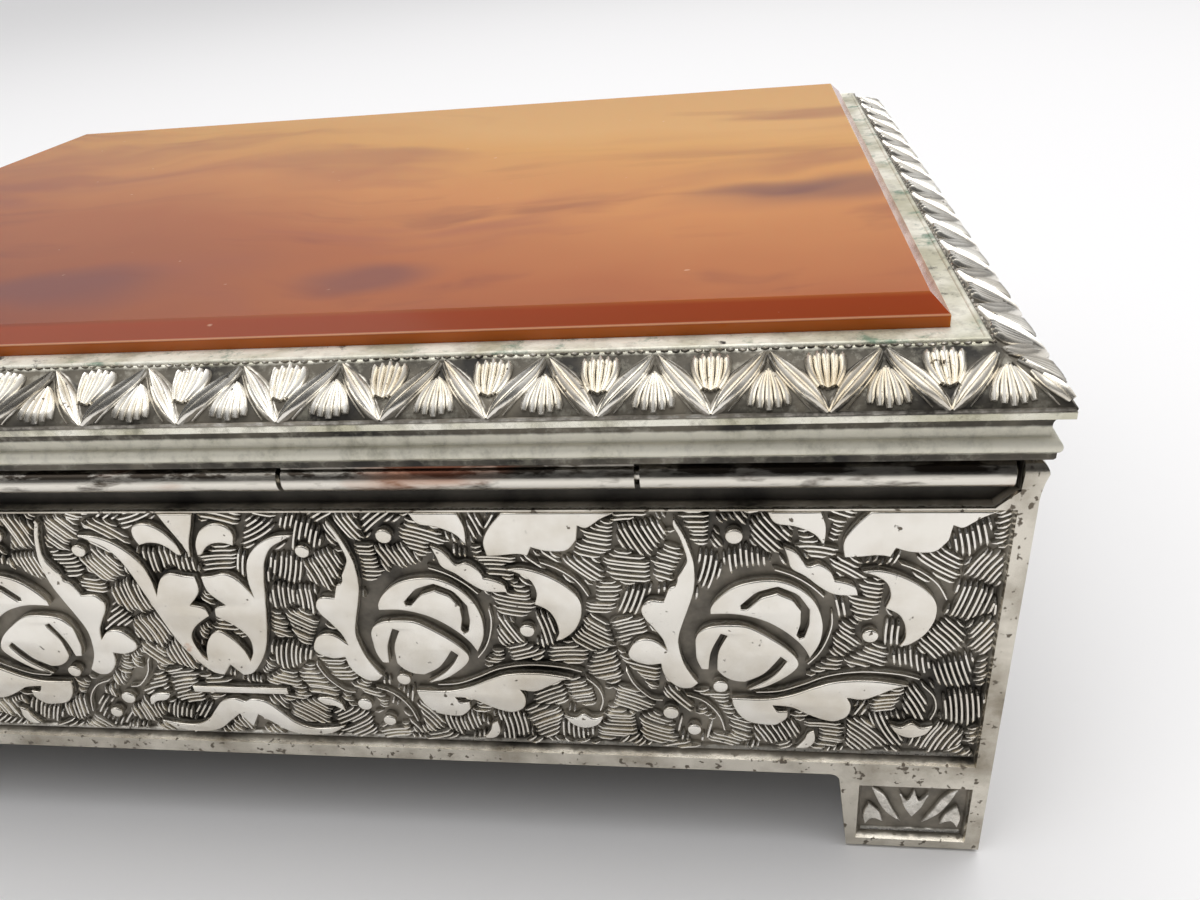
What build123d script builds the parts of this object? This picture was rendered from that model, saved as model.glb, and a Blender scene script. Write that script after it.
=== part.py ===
from build123d import *
import os

# Cigarette box of cast white metal with a cedar lining and a marbled amber slab in its lid.
# Origin: centre of the underside of the feet. Front is -Y, the hinge is at +Y, +Z is up.
# Every wall section is drawn with its first value inward from the wall's outer plane and its
# second value up from the floor. All sizes are in millimetres.

# Overall sizes
box_length = 129.4
box_width = 93.8
foot_height = 9.3
wall_height = 31.25

# Cast walls
wall = 2.8
field_depth = 0.9
field_draft = 20
side_border = 1.3
bottom_border = 1.4
rim_height = 4.1
rim_flare = 0.3
rim_lip = 1.0
edge_round = 0.35

# Bracket feet, cast in one with the walls
foot_width_top = 12.3
foot_width_bottom = 11.3
foot_wall = 2.2
foot_border = 1.25
foot_recess = 0.7
foot_crown = 0.8

# Bottom plate and cedar lining
plate_thickness = 1.0
plate_rise = 0.3
board = 1.6
board_step = 1.35
divider_drop = 3.0
housing_depth = 0.5
housing_gap = 0.1
board_ease = 0.4
lining_corner = 1.0

# Hinge: a barrel of five knuckles on one pin, bedded in a channel along the back wall
barrel_radius = 1.15
barrel_inset = 0.9
barrel_drop = 1.35
knuckle_joints = (-37.1, -9.8, 17.2, 40.0)
knuckle_gap = 0.4
knuckle_ease = 0.1
end_gap = 0.5
pin_radius = 0.5
pin_bedding = 0.02
pin_clearance = 0.05
pin_stand_out = 0.3
pin_end_round = 0.15
channel_clearance = 0.15
channel_floor = 1.3
channel_ramp = 1.5
saddle_half = 0.6
channel_bed = 0.15

# Lid
lid_gap = 0.15
lid_overhang = 1.03
lid_set_in = 0.3
lid_step = 0.42
roll_rise = 1.65
roll_proud = 0.68
cove_low = 2.4
cove_high = 3.45
tip_height = 0.5
ogee_turn = 0.95
ogee_turn_rise = 5.55
ogee_top = 3.5
bead_width = 0.45
bead_rise = 0.15
slab_border = 5.8
slab_proud = 2.2
slab_thickness = 5.0
slab_bevel = 1.3
slab_gap = 0.05
ledge_rise = 7.1
shelf_width = 2.4
shelf_thickness = 1.2
shelf_root = 4.6
lid_inner_wall = 2.4
lid_inner_rise = 1.6

# Levels worked out from the sizes above
rim_z = foot_height + wall_height
lid_z = rim_z + lid_gap
ledge_z = lid_z + ledge_rise
slab_top_z = ledge_z + slab_proud
slab_bottom_z = slab_top_z - slab_thickness
shelf_z = slab_bottom_z - shelf_thickness
plate_z = foot_height + plate_rise
floor_z = plate_z + plate_thickness
liner_z = floor_z + board
liner_top_z = rim_z + board_step
field_top_z = rim_z - rim_height
hinge_z = rim_z - barrel_drop
hinge_y = box_width / 2 - barrel_inset

# Plan sizes worked out from the sizes above
inner_length = box_length - 2 * wall
inner_width = box_width - 2 * wall
lined_length = inner_length - 2 * board
lined_width = inner_width - 2 * board
post_x = box_length / 2 - side_border
barrel_end_x = post_x - end_gap

SIDES = {
    "front": (0, box_length, box_width / 2),
    "right": (90, box_width, box_length / 2),
    "back": (180, box_length, box_width / 2),
    "left": (270, box_width, box_length / 2),
}


def section(*pieces):
    """Close a chain of lines and arcs, drawn inward and up, into a face across the wall."""
    return Plane.YZ * make_face(Curve() + list(pieces))


def mitred_bar(face, length):
    """Run a wall section along one side and cut both of its ends at 45 degrees."""
    proud = 2 * lid_overhang
    reach = slab_border + 2 * shelf_width
    bar = extrude(face, amount=length / 2 + proud, both=True)
    plan = Polyline(
        (-length / 2 - proud, -proud),
        (length / 2 + proud, -proud),
        (length / 2 - reach, reach),
        (-length / 2 + reach, reach),
        close=True,
    )
    return bar & extrude(make_face(plan), amount=2 * slab_top_z)


def on_side(shape, side):
    """Stand a piece drawn on the front wall's outer plane at its own side of the box."""
    angle, _, half = SIDES[side]
    return Rot(0, 0, angle) * Pos(0, -half, 0) * shape


def recess(width, height, depth, centre_x, centre_z):
    """A sunk field in the outer plane, with drafted sides as a casting needs."""
    mouth = Plane(origin=(centre_x, 0, centre_z), x_dir=(1, 0, 0), z_dir=(0, 1, 0))
    return extrude(mouth * Rectangle(width, height), amount=depth, taper=field_draft)


def wall_section():
    """Foot, plain wall and a rim that flares out to meet the lid, as one section."""
    outer = Polyline((foot_wall, 0), (edge_round, 0), (0, edge_round), (0, field_top_z))
    flare = ThreePointArc(
        (0, field_top_z), (-rim_flare / 3, rim_z - rim_height / 2), (-rim_flare, rim_z - rim_lip)
    )
    lip = ThreePointArc(
        (-rim_flare, rim_z - rim_lip), (-rim_flare / 6, rim_z - 0.4 * rim_lip), (0.55 * rim_lip, rim_z)
    )
    inner = Polyline(
        (0.55 * rim_lip, rim_z),
        (wall, rim_z),
        (wall, foot_height),
        (foot_wall, foot_height),
        (foot_wall, 0),
    )
    return section(outer, flare, lip, inner)


def foot_arch(length):
    """The open space between the two feet of one wall, wider at the floor."""
    top = length / 2 - foot_width_top
    bottom = length / 2 - foot_width_bottom
    slope = (bottom - top) / foot_height
    outline = Polyline(
        (-bottom - slope, -1),
        (-top, foot_height),
        (top, foot_height),
        (bottom + slope, -1),
        close=True,
    )
    arch = extrude(Plane.XZ * make_face(outline), amount=10, both=True)
    crowns = [e for e in arch.edges().filter_by(Axis.Y) if e.center().Z > foot_height / 2]
    return fillet(crowns, radius=foot_crown)


def hinge_channel():
    """The trough in the back wall's rim that the barrel lies in, with ramped ends."""
    top = rim_z + 2
    ramp_z = hinge_z - barrel_radius
    floor = field_top_z + channel_bed
    trough_face = Polyline(
        (-post_x, top),
        (-post_x, ramp_z),
        (-post_x + channel_ramp, floor),
        (post_x - channel_ramp, floor),
        (post_x, ramp_z),
        (post_x, top),
        close=True,
    )
    trough = extrude(Plane.XZ * make_face(trough_face), amount=5, both=True)
    trough = trough & Pos(0, channel_floor - 5, foot_height) * Box(
        box_length, 10, 3 * wall_height, align=(Align.CENTER, Align.CENTER, Align.MIN)
    )
    groove_radius = barrel_radius + channel_clearance
    groove = Pos(0, barrel_inset, hinge_z) * Rot(0, 90, 0) * Cylinder(groove_radius, 2 * post_x)
    above = Pos(0, barrel_inset + groove_radius - 5, hinge_z) * Box(
        2 * post_x, 10, 10, align=(Align.CENTER, Align.CENTER, Align.MIN)
    )
    return trough + groove + above


def wall_panel(side):
    """One cast side of the box with a half foot at each end and a sunk field for its relief."""
    _, length, _ = SIDES[side]
    panel = mitred_bar(wall_section(), length) - foot_arch(length)
    field_bottom = foot_height + bottom_border
    field_height = field_top_z - field_bottom
    panel -= recess(
        length - 2 * side_border, field_height, field_depth, 0, field_bottom + field_height / 2
    )
    foot_field_width = (foot_width_top + foot_width_bottom) / 2 - 2 * foot_border
    foot_field_height = foot_height - 2 * foot_border
    for end in (-1, 1):
        foot_x = end * (length / 2 - foot_border - foot_field_width / 2)
        panel -= recess(foot_field_width, foot_field_height, foot_recess, foot_x, foot_height / 2)
    panel = on_side(panel, side)
    if side != "front":
        panel -= on_side(hinge_channel(), "back")
    return panel


def lid_section():
    """The lid's rail: rolled lower edge, band, cove, sloping ogee, bead, ledge and slab shelf."""
    tip = -lid_overhang
    roll_top = lid_z + roll_rise
    tip_low = lid_z + cove_high
    tip_top = tip_low + tip_height
    turn_z = lid_z + ogee_turn_rise
    ogee_z = ledge_z - bead_rise
    bead_end = ogee_top + bead_width
    seat = slab_border - slab_gap
    shelf_end = slab_border + shelf_width
    hollow_z = lid_z + lid_inner_rise
    foot = Polyline(
        (lid_set_in, lid_z), (-lid_set_in, lid_z), (-lid_step, lid_z + 0.2), (-lid_step, lid_z + 0.6)
    )
    roll = ThreePointArc((-lid_step, lid_z + 0.6), (-roll_proud, lid_z + 1.1), (-0.05, roll_top))
    band = Polyline((-0.05, roll_top), (0, roll_top + 0.1), (0, lid_z + cove_low))
    cove = ThreePointArc((0, lid_z + cove_low), (-0.28, tip_low - 0.3), (tip, tip_low))
    edge = Line((tip, tip_low), (tip, tip_top))
    ogee_low = ThreePointArc((tip, tip_top), (-0.45, tip_top + 0.9), (ogee_turn, turn_z))
    ogee_high = ThreePointArc((ogee_turn, turn_z), (2.4, turn_z + 0.6), (ogee_top, ogee_z))
    bead = ThreePointArc((ogee_top, ogee_z), (ogee_top + 0.22, ogee_z + 0.27), (bead_end, ledge_z))
    ledge_and_shelf = Polyline(
        (bead_end, ledge_z),
        (seat, ledge_z),
        (seat, slab_bottom_z),
        (shelf_end, slab_bottom_z),
        (shelf_end, shelf_z),
        (shelf_root, shelf_z),
    )
    hollow = ThreePointArc(
        (shelf_root, shelf_z), (lid_inner_wall + 0.5, hollow_z + 0.85), (lid_inner_wall, hollow_z)
    )
    inner_wall = Polyline((lid_inner_wall, hollow_z), (lid_inner_wall, lid_z), (lid_set_in, lid_z))
    return section(
        foot, roll, band, cove, edge, ogee_low, ogee_high, bead, ledge_and_shelf, hollow, inner_wall
    )


def lid_rail(side):
    """One side of the lid frame, mitred into its neighbours."""
    _, length, _ = SIDES[side]
    return on_side(mitred_bar(lid_section(), length), side)


def amber_slab():
    """The thick slab in the lid, its top edge bevelled all round."""
    length = box_length - 2 * slab_border
    width = box_width - 2 * slab_border
    slab = extrude(Pos(0, 0, slab_bottom_z) * Rectangle(length, width), amount=slab_thickness)
    top = slab.faces().sort_by(Axis.Z)[-1]
    return chamfer(top.edges(), length=slab_bevel)


def flat_board(length, width, thickness, low_z, corner=0):
    """A cut sheet lying flat."""
    plan = RectangleRounded(length, width, corner) if corner else Rectangle(length, width)
    return extrude(Pos(0, 0, low_z) * plan, amount=thickness)


def eased(solid):
    """Take the sharp edge off the top of a lining board."""
    top = solid.faces().sort_by(Axis.Z)[-1]
    return fillet(top.edges(), radius=board_ease)


def liner_wall(side):
    """A lining board that stands on the cedar floor and rises past the rim to locate the lid."""
    long_side = side in ("front", "back")
    length = inner_length if long_side else lined_width
    height = liner_top_z - liner_z
    blank = Pos(0, wall, liner_z) * Box(
        length, board, height, align=(Align.CENTER, Align.MIN, Align.MIN)
    )
    blank = eased(blank)
    if long_side:
        slot_z = liner_top_z - divider_drop
        blank -= Pos(0, wall + board, liner_z) * Box(
            board + 2 * housing_gap,
            2 * housing_depth,
            slot_z - liner_z,
            align=(Align.CENTER, Align.CENTER, Align.MIN),
        )
    return on_side(blank, side)


def divider():
    """The cross board that parts the box into two compartments, let into the long linings."""
    length = lined_width + 2 * (housing_depth - housing_gap)
    height = liner_top_z - divider_drop - housing_gap - liner_z
    blank = Pos(0, 0, liner_z) * Box(
        board, length, height, align=(Align.CENTER, Align.CENTER, Align.MIN)
    )
    return eased(blank)


def knuckle(number):
    """One tube of the barrel with the saddle that beds it in the channel or joins it to the lid."""
    low_ends = (-barrel_end_x,) + tuple(x + knuckle_gap / 2 for x in knuckle_joints)
    high_ends = tuple(x - knuckle_gap / 2 for x in knuckle_joints) + (barrel_end_x,)
    length = high_ends[number - 1] - low_ends[number - 1]
    centre_x = (high_ends[number - 1] + low_ends[number - 1]) / 2
    on_lid = number % 2 == 0
    bore = pin_radius + (pin_clearance if on_lid else pin_bedding)
    tube = Rot(0, 90, 0) * Cylinder(barrel_radius, length)
    if on_lid:
        saddle = Box(
            length, 2 * saddle_half, barrel_drop + lid_gap, align=(Align.CENTER, Align.CENTER, Align.MIN)
        )
    else:
        reach = barrel_radius + channel_clearance
        saddle = Pos(0, 0, saddle_half) * Box(
            length, reach, 4 * saddle_half, align=(Align.CENTER, Align.MAX, Align.MAX)
        )
        saddle = saddle & Rot(0, 90, 0) * Cylinder(reach, length)
    body = tube + saddle - Rot(0, 90, 0) * Cylinder(bore, length + 1)
    body = chamfer(body.edges().filter_by(GeomType.CIRCLE).sort_by(SortBy.RADIUS)[:2], knuckle_ease)
    return Pos(centre_x, hinge_y, hinge_z) * body


def hinge_pin():
    """The long pin through all five knuckles, with slightly domed ends."""
    length = 2 * (barrel_end_x + pin_stand_out)
    pin = Rot(0, 90, 0) * Cylinder(pin_radius, length)
    pin = fillet(pin.edges().filter_by(GeomType.CIRCLE), radius=pin_end_round)
    return Pos(0, hinge_y, hinge_z) * pin


def build():
    parts = {}
    for side in SIDES:
        parts["panel_" + side] = wall_panel(side)
        parts["liner_" + side] = liner_wall(side)
        parts["lid_rail_" + side] = lid_rail(side)
    parts["bottom_plate"] = flat_board(inner_length, inner_width, plate_thickness, plate_z)
    parts["liner_floor"] = flat_board(inner_length, inner_width, board, floor_z)
    parts["liner_divider"] = divider()
    for number in range(1, len(knuckle_joints) + 2):
        parts["hinge_knuckle_" + str(number)] = knuckle(number)
    parts["hinge_pin"] = hinge_pin()
    parts["amber_slab"] = amber_slab()
    filler_inset = slab_border + shelf_width
    parts["slab_backing_board"] = flat_board(
        box_length - 2 * filler_inset, box_width - 2 * filler_inset, shelf_thickness, shelf_z
    )
    lining_inset = slab_border - shelf_thickness
    parts["lid_lining"] = flat_board(
        box_length - 2 * lining_inset, box_width - 2 * lining_inset, board, shelf_z - board, lining_corner
    )
    return parts


os.makedirs("parts", exist_ok=True)
for name, shape in build().items():
    shape.label = name
    export_step(shape, os.path.join("parts", name + ".step"))
    print(name, "volume", round(shape.volume, 1), "valid", shape.is_valid)
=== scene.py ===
"""The finish of a footed cigarette box of cast, silver-plated metal with an amber slab in its lid.

Lengths are millimetres. In materials, in lamps and in numbers multiplied by MM they are metres, as
Blender reads them. A wall's own frame is u to the right as seen from outside, z up from the floor
and h outward from the floor of the sunk field.
"""

import math
import random

import bpy
import numpy as np
from bpy.props import FloatProperty, FloatVectorProperty, IntProperty, PointerProperty
from mathutils import Matrix, Vector


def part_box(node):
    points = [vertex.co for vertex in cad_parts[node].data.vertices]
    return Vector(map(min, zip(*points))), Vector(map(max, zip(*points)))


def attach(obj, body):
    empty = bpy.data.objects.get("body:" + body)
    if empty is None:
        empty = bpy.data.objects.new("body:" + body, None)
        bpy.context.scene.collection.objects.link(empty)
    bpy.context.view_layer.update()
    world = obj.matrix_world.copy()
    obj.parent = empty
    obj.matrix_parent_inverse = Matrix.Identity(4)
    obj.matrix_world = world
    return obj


bl_info = {
    "name": "Relief Cigarette Box",
    "version": (1, 0, 0),
    "blender": (4, 5, 0),
    "location": "View3D > Sidebar > Box",
    "description": "Finishes a cast metal cigarette box with relief walls and an amber slab",
    "category": "Object",
}

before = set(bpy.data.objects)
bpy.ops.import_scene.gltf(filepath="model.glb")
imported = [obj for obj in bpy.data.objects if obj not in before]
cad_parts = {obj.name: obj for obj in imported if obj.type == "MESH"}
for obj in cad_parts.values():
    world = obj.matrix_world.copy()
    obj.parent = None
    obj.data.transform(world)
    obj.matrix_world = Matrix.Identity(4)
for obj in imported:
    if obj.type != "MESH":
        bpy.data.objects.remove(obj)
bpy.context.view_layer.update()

MM = 0.001


def corner_mm(node):
    """Lowest and highest corners of a node of the frame, in millimetres."""
    low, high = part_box(node)
    return Vector(low) / MM, Vector(high) / MM


back_high = corner_mm("panel_back")[1]
slab_high = corner_mm("amber_slab")[1]
rail_low, rail_high = corner_mm("lid_rail_back")
barrel_low, barrel_high = corner_mm("hinge_pin")

# The rim flares out past the walls' outer planes
RIM_PROUD = 0.3
HALF_LENGTH = back_high.x - RIM_PROUD
HALF_WIDTH = back_high.y - RIM_PROUD
HINGE_Z = (barrel_low.z + barrel_high.z) / 2
FIELD_DEPTH = 0.9
FIELD_LOW = 10.7
FIELD_HIGH = 36.45
SIDE_BORDER = 1.3
LID_LOW = rail_low.z
LEDGE_Z = rail_high.z - 0.12
RELIEF_HEIGHT = 0.86
RELIEF_EDGE = 0.13
FOOT_RELIEF_HEIGHT = 0.5
FOOT_RELIEF_EDGE = 0.12
FOOT_STAND_OFF = 0.2
FOOT_INSET = 5.9
LEAF_TOP = 0.45
BERRY_MARGIN = 0.25
ECHO_WIDTH = 0.24
ECHO_RISE = 0.66
ECHO_ROOM = 0.5
BEAD_Z = FIELD_LOW + 0.75
BEAD_WIDTH = 0.6
BEAD_RISE = 0.42
SILL_SIZE = 0.5
SLAB_BEVEL = 1.3
LID_OVERHANG = 1.03

# How often the lid's leaves repeat along half of a rail
RAIL_REPEATS = {"front": 8.5, "right": 6.5, "back": 8.5, "left": 6.5}

# Each wall's turn about Z in degrees, half its length, and its plane's distance from the middle
SIDES = {
    "front": (0, HALF_LENGTH, HALF_WIDTH),
    "right": (90, HALF_WIDTH, HALF_LENGTH),
    "back": (180, HALF_LENGTH, HALF_WIDTH),
    "left": (270, HALF_WIDTH, HALF_LENGTH),
}

# Outlines of the raised ornament in millimetres. A third value of 1 marks a sharp corner.
# The spray's outlines are measured from its bud's middle, the palmette's from the wall's middle.

TEARDROP = [
    (-1.5, 36.3, 1), (1.5, 36.3, 1), (1.1, 35.2), (0.35, 33.4), (0, 31.9, 1), (-0.35, 33.4), (-1.1, 35.2),
]

PETAL = [
    (0.7, 32.2, 1), (0.9, 33.4), (1.7, 34.7), (2.9, 35.35), (4.0, 35.1), (4.35, 34.2), (4.1, 33.2, 1),
    (3.2, 33.45), (2.3, 33.35), (1.6, 32.9), (1.1, 32.3),
]

PALMETTE_HALF = [
    (0, 20.3, 1), (0.9, 19.1, 1), (1.9, 19.4), (3.0, 20.7), (3.8, 22.1), (4.4, 23.8), (4.9, 25.8),
    (5.4, 28.0), (5.9, 30.2), (6.4, 31.7), (7.2, 32.9), (8.3, 33.6), (9.4, 34.2, 1), (7.8, 34.1),
    (6.2, 33.3), (4.9, 31.8), (4.35, 29.8), (4.35, 28.0, 1), (3.95, 28.9), (3.3, 29.9), (2.4, 30.35),
    (1.2, 30.1), (0.3, 30.0, 1), (0.3, 28.9), (0.6, 28.1), (1.6, 27.0, 1), (0.55, 26.7), (0.3, 25.8, 1),
    (1.8, 24.7), (2.65, 23.4), (2.55, 21.9), (2.0, 20.8, 1), (1.75, 22.0), (1.1, 23.3), (0, 24.2),
]

BRACKET_HALF = [
    (0, 12.7, 1), (0.9, 14.3, 1), (2.0, 13.4), (3.4, 12.3), (5.4, 11.9), (7.6, 12.25), (9.0, 13.2, 1),
    (7.4, 12.85), (5.6, 12.8), (4.2, 13.5), (3.2, 14.7), (2.1, 15.9), (0.8, 16.2), (0, 15.9),
]

PALMETTE_BAR = [(-4.5, 16.9), (4.5, 16.9), (4.5, 17.6), (-4.5, 17.6)]

COMMA = [(7.1, 16.5), (8.3, 16.6), (9.2, 16.0), (9.35, 15.0, 1), (8.6, 15.6), (7.6, 15.8)]

LONG_LEAF = [
    (-6.3, 35.7, 1), (-5.6, 34.2), (-5.05, 32.3), (-4.9, 31.0), (-5.0, 29.1), (-5.45, 27.4), (-6.0, 25.7),
    (-6.35, 24.4), (-6.4, 23.3), (-6.1, 21.6), (-5.6, 20.4), (-5.0, 19.4, 1), (-5.6, 18.85), (-6.5, 18.85),
    (-7.3, 19.5), (-7.8, 20.4), (-7.95, 21.45, 1), (-9.0, 21.3), (-10.2, 21.75), (-10.55, 22.5),
    (-9.9, 23.7), (-9.0, 24.05), (-8.2, 23.8), (-7.4, 22.95, 1), (-7.7, 24.1), (-8.4, 25.3), (-9.0, 26.2),
    (-9.2, 27.1), (-8.6, 27.95), (-7.4, 27.9, 1), (-6.9, 29.2), (-6.4, 29.5), (-6.2, 30.3, 1), (-5.7, 31.2),
    (-5.45, 32.1), (-5.9, 34.0), (-6.35, 35.1),
]

BUD = [
    (-5.1, 23.0), (-5.05, 24.2), (-4.55, 25.05), (-3.6, 25.5), (-1.9, 25.6), (-0.8, 25.4), (0.6, 24.5),
    (2.1, 23.25), (2.95, 22.0), (2.8, 21.1), (1.7, 20.0), (0.3, 19.1), (-1.1, 18.75, 1), (0.5, 19.85),
    (1.45, 20.85), (2.1, 21.95, 1), (1.6, 22.4, 1), (0.95, 21.4), (0.15, 20.45), (-1.2, 19.65, 1),
    (-2.1, 19.75), (-2.9, 20.2), (-3.45, 20.9, 1), (-3.3, 22.8), (-2.55, 24.5, 1), (-3.05, 24.7, 1),
    (-3.85, 22.8), (-4.1, 20.9, 1), (-4.7, 20.95, 1), (-5.05, 22.0),
]

HOOD = [
    (-3.85, 26.7, 1), (-3.75, 27.4), (-3.1, 28.4), (-1.9, 29.45), (-0.2, 30.0), (1.5, 30.0), (3.1, 29.2),
    (4.2, 27.8), (4.75, 25.9), (4.6, 24.0), (3.85, 22.3, 1), (3.3, 23.5), (2.05, 24.9), (0.6, 25.95),
    (-0.8, 26.5), (-2.2, 26.75),
]
HOOD_GROOVE = [(-1.25, 27.4), (-0.1, 28.65), (1.3, 29.15), (2.6, 28.5), (3.4, 27.2), (3.4, 25.8), (3.1, 24.6)]
HOOD_GROOVE_WIDTH = 0.62

CALYX = [
    (1.7, 33.2, 1), (2.5, 32.8), (3.0, 32.1, 1), (3.5, 31.4), (4.3, 31.6), (5.1, 31.0), (5.5, 30.1, 1),
    (6.3, 29.9), (7.0, 29.5), (7.25, 28.7, 1), (5.6, 28.75), (4.5, 29.4), (3.3, 30.5), (2.3, 31.2),
    (2.0, 32.2),
]

TOP_LEAF = [
    (6.1, 32.25, 1), (6.0, 33.6), (6.7, 35.0), (7.8, 36.3, 1), (16.5, 36.3, 1), (15.3, 35.7), (14.2, 34.9),
    (13.5, 35.1, 1), (13.3, 33.8, 1), (12.4, 32.8), (10.8, 32.75), (9.7, 33.1, 1), (9.35, 32.3, 1),
    (8.5, 32.45), (7.1, 32.3),
]

SHOULDER = [(0.5, 36.3, 1), (4.3, 36.3, 1), (4.7, 34.9), (4.6, 33.2, 1), (3.9, 34.3), (2.5, 35.0), (1.1, 35.3)]

CRESCENT = [
    (7.4, 30.95, 1), (8.85, 31.05), (10.6, 30.4), (12.1, 29.3), (12.95, 28.0), (13.0, 26.5), (12.4, 25.0),
    (11.4, 24.0), (10.6, 23.7, 1), (10.95, 24.6), (10.8, 25.9), (10.3, 26.9), (9.3, 27.5, 1), (9.6, 28.6),
    (9.3, 29.8), (8.5, 30.5),
]

LOW_LEAF = [
    (-2.3, 17.8, 1), (-0.6, 17.75), (0.9, 17.85), (2.6, 18.35), (4.4, 19.25), (6.2, 19.9), (8.85, 20.05),
    (11.6, 19.6, 1), (10.6, 19.3), (9.4, 18.6), (8.2, 18.0), (6.9, 18.15, 1), (7.25, 17.2), (7.0, 16.1),
    (6.0, 15.5), (4.9, 15.7), (3.65, 16.3), (2.5, 16.95), (1.0, 17.1, 1), (1.4, 16.45), (2.2, 16.5, 1),
    (2.2, 15.8), (1.7, 15.2), (1.0, 14.85), (-0.8, 15.1), (-1.7, 15.9), (-2.2, 17.0),
]

SMILE = [
    (10.4, 15.3, 1), (11.0, 14.3), (12.1, 13.85), (13.3, 14.3), (13.8, 15.3, 1), (12.9, 15.0), (12.1, 15.5),
    (11.3, 15.0),
]

HORN = [(2.9, 12.2, 1), (3.9, 12.3), (4.5, 13.1), (4.4, 14.3, 1), (3.9, 14.0), (3.6, 13.2)]

# The dark hollow round the bud, where no hatching lies, and thin ridges that echo the outlines
BALL = [
    (-5.9, 22.5), (-5.7, 25.2), (-4.5, 28.0), (-2.2, 30.1), (0.9, 30.7), (3.6, 29.9), (5.2, 27.7),
    (5.5, 25.0), (4.7, 22.3), (3.1, 20.3), (0.4, 18.4), (-3.6, 18.3), (-5.2, 20.2),
]
ECHOES = [
    [(0.9, 31.0), (2.4, 30.4), (3.8, 29.4), (4.9, 28.2)],
    [(5.4, 26.9), (5.45, 25.6), (5.1, 24.0), (4.5, 22.6), (3.6, 21.4)],
    [(-0.6, 18.35), (1.5, 18.55), (3.4, 19.35), (5.4, 20.35), (8.0, 20.85), (10.8, 20.65), (12.6, 20.1)],
    [(10.0, 31.6), (11.5, 30.9), (12.9, 29.7), (13.8, 28.0)],
    [(12.6, 19.6), (13.6, 18.4), (13.9, 17.0), (13.5, 15.6)],
    [(-10.9, 20.6), (-10.3, 18.9), (-9.0, 17.4), (-7.9, 17.2)],
    [(-6.2, 17.9), (-4.6, 17.2), (-3.4, 15.6), (-2.9, 13.6)],
]

SPRAY = (LONG_LEAF, CALYX, TOP_LEAF, SHOULDER, CRESCENT, LOW_LEAF, SMILE, HORN)

# Round berries: place along and up from the spray's own origin, and radius
SPRAY_BERRIES = [
    (8.35, 24.7, 0.62), (-3.2, 19.05, 0.62), (-7.4, 15.9, 0.66), (-5.5, 14.0, 0.58), (-1.9, 34.1, 0.66),
]
PALMETTE_BERRY = (9.8, 32.6, 0.6)

FOOT_LEAF = [(-3.6, 7.7, 1), (-2.5, 6.7), (-1.8, 5.2), (-0.9, 3.3, 1), (-2.2, 4.5), (-3.0, 6.0)]
FOOT_SILL = [(-4.2, 1.9), (0, 1.9), (4.2, 1.9)]
FOOT_TRIDENT_HALF = [(0, 4.0, 1), (0.75, 5.3), (1.2, 7.1, 1), (0.5, 6.0), (0, 7.5, 1)]
FOOT_BLOSSOM = [(-3.7, 5.5, 1), (-2.8, 4.5), (-2.4, 3.2, 1), (-3.3, 3.6), (-3.9, 2.8, 1), (-4.1, 4.1)]

SPRAY_PLACES = {"long": (18.8, 45.8), "short": (18.8,)}


def linear(code):
    """An sRGB hex colour as linear red, green, blue and alpha."""
    channels = [int(code[i:i + 2], 16) / 255 for i in (1, 3, 5)]
    return [c / 12.92 if c <= 0.04045 else ((c + 0.055) / 1.055) ** 2.4 for c in channels] + [1.0]


def fill(tree, node, inputs):
    """Set each socket of a node, found by its name or number, to a value or to another socket."""
    for key, value in dict(inputs).items():
        if isinstance(value, bpy.types.NodeSocket):
            tree.links.new(value, node.inputs[key])
        else:
            node.inputs[key].default_value = value


def add(tree, kind, inputs=(), stops=(), **settings):
    """Add one shader node with its links and settings. Stops are a colour ramp's places and hex colours."""
    made = tree.nodes.new("ShaderNode" + kind)
    for key, value in settings.items():
        setattr(made, key, value)
    fill(tree, made, inputs)
    if stops:
        elements = made.color_ramp.elements
        while len(elements) < len(stops):
            elements.new(0.5)
        for element, (position, code) in zip(elements, stops):
            element.position = position
            element.color = linear(code)
    return made


def smooth_loop(points, steps=5):
    """Carry a closed curve through given points, with a corner wherever one is marked."""
    count = len(points)
    loop = []
    for i, here in enumerate(points):
        after = points[(i + 1) % count]
        before = points[i - 1]
        beyond = points[(i + 2) % count]
        p1 = np.array(here[:2], float)
        p2 = np.array(after[:2], float)
        p0 = p1 if len(here) > 2 else np.array(before[:2], float)
        p3 = p2 if len(after) > 2 else np.array(beyond[:2], float)
        for k in range(steps):
            t = k / steps
            bend = 2 * p1 + (p2 - p0) * t
            bend += (2 * p0 - 5 * p1 + 4 * p2 - p3) * t * t
            bend += (3 * p1 - p0 - 3 * p2 + p3) * t ** 3
            loop.append(bend / 2)
    return np.array(loop)


def smooth_line(points):
    """Carry an open curve through given points."""
    bent = [tuple(points[0]) + (1,)] + [tuple(p) for p in points[1:-1]] + [tuple(points[-1]) + (1,)]
    steps = 5
    return smooth_loop(bent, steps)[:(len(points) - 1) * steps + 1]


def whole(half):
    """Complete the outline of a figure that is alike on both sides of its axis."""
    other = [(-p[0],) + tuple(p[1:]) for p in reversed(half) if abs(p[0]) > 1e-6]
    return list(half) + other


def flipped(loop):
    """The same loop seen in a mirror, wound the same way round."""
    return (loop * np.array([-1, 1]))[::-1]


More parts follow.
